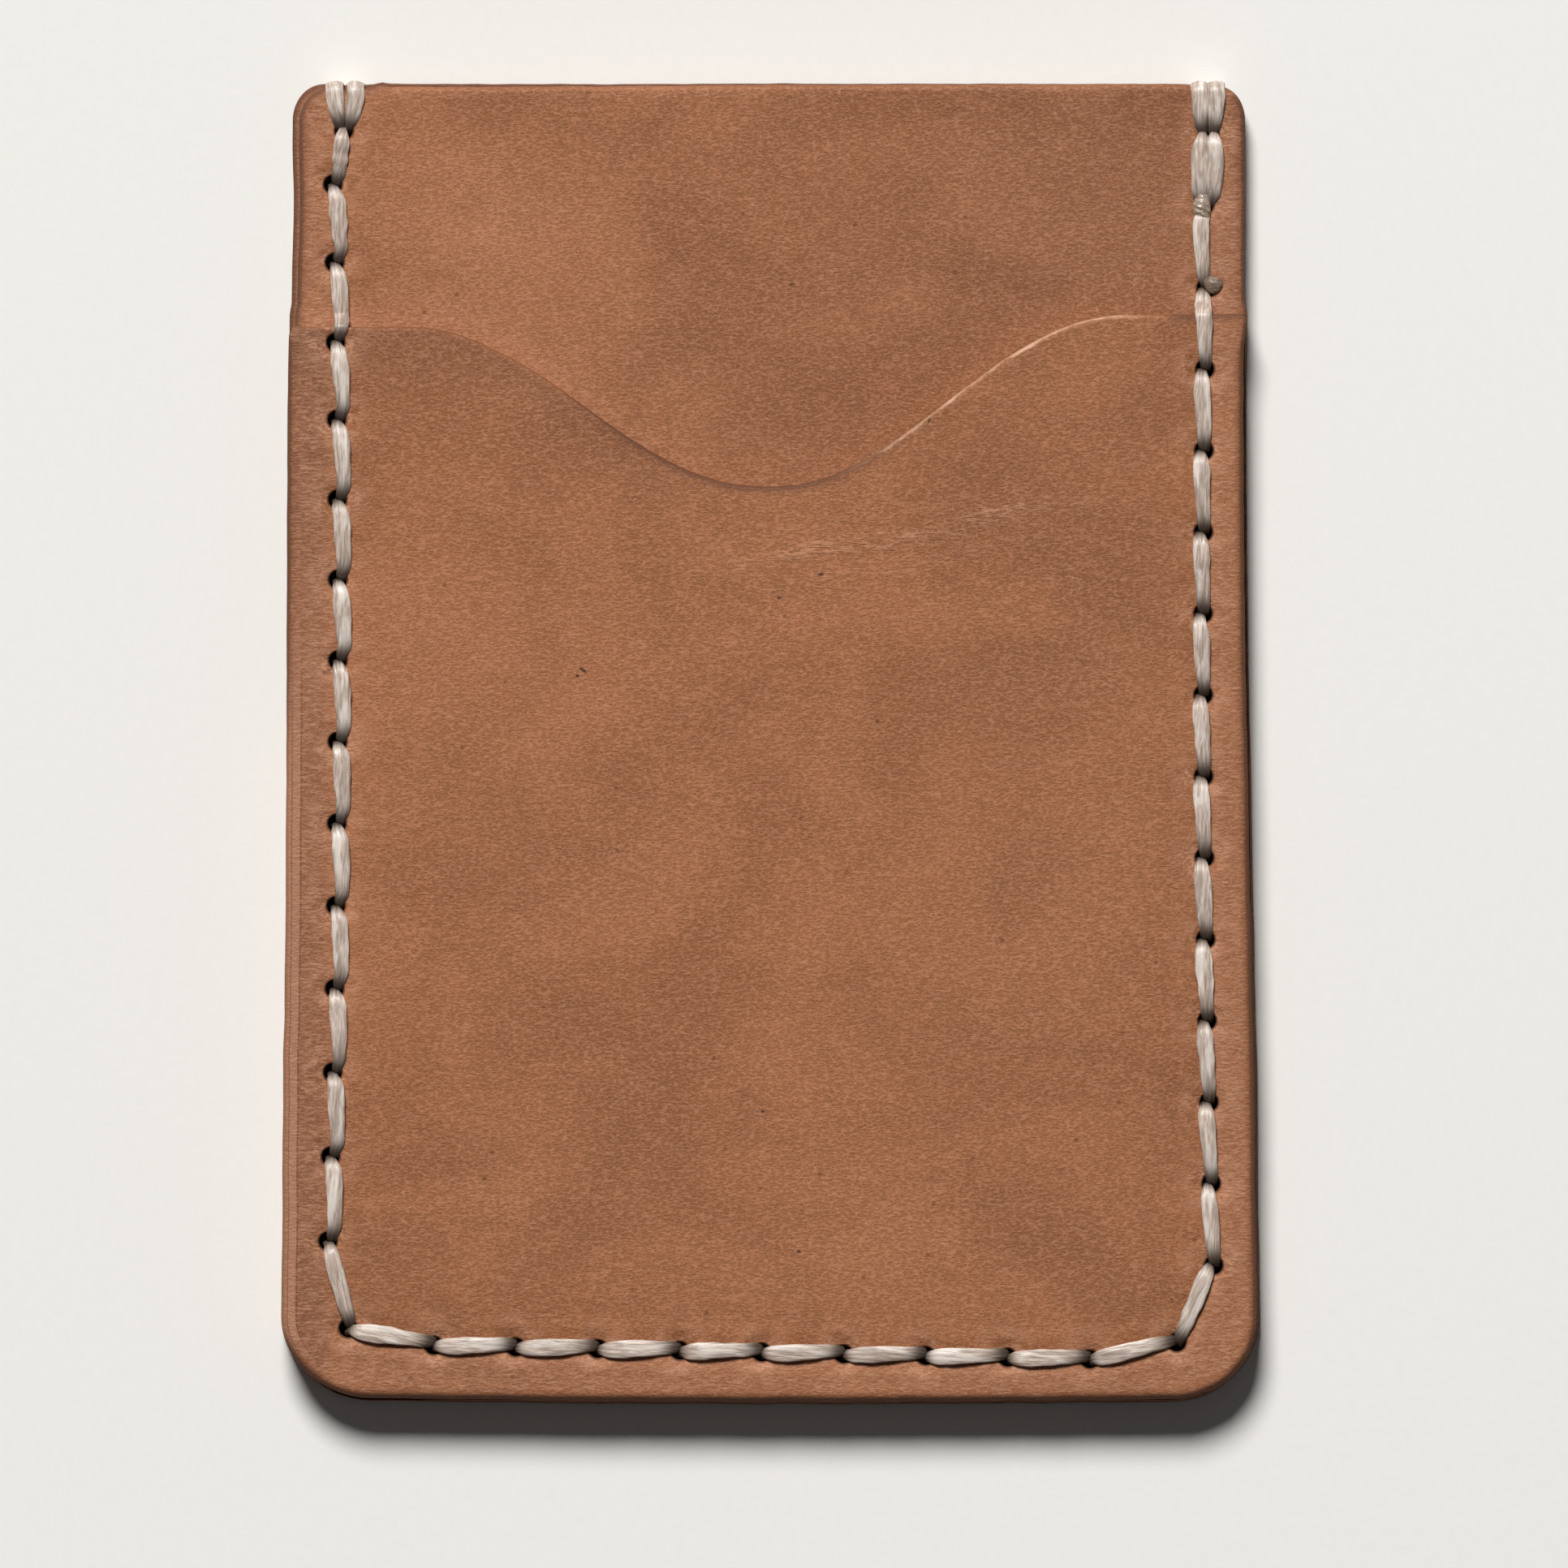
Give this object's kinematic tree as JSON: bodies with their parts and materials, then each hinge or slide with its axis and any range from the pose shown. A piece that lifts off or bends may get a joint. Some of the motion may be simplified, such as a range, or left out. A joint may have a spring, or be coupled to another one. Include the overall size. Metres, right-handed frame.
{
  "type": "card holder",
  "caption": "Upright leather card holder of stacked panels, saddle-stitched on three sides, with a rear and a front card pocket open at the top and an S-curved front mouth.",
  "frame": {"origin": "under the middle of the outline, in the plane of the back that the holder rests on", "axes": "+Z out of the front, +Y towards the open mouths of the pockets, +X to the right seen from the front"},
  "size_m": [0.0706, 0.0956, 0.0048],
  "materials": {
    "leather": "smooth vegetable-tanned grain leather, satin, with burnished edges",
    "cement": "dried contact cement",
    "thread": "flattened waxed polyester thread, satin",
    "melted_thread": "melted thread end, glossy"
  },
  "bodies": {
    "root": {"back_panel": "leather", "middle_panel": "leather", "front_pocket": "leather", "rear_cement": "cement", "front_cement": "cement", "stitch_thread_a": "thread", "stitch_thread_b": "thread", "thread_end_upper": "melted_thread", "thread_end_lower": "melted_thread"}
  },
  "joints": []
}
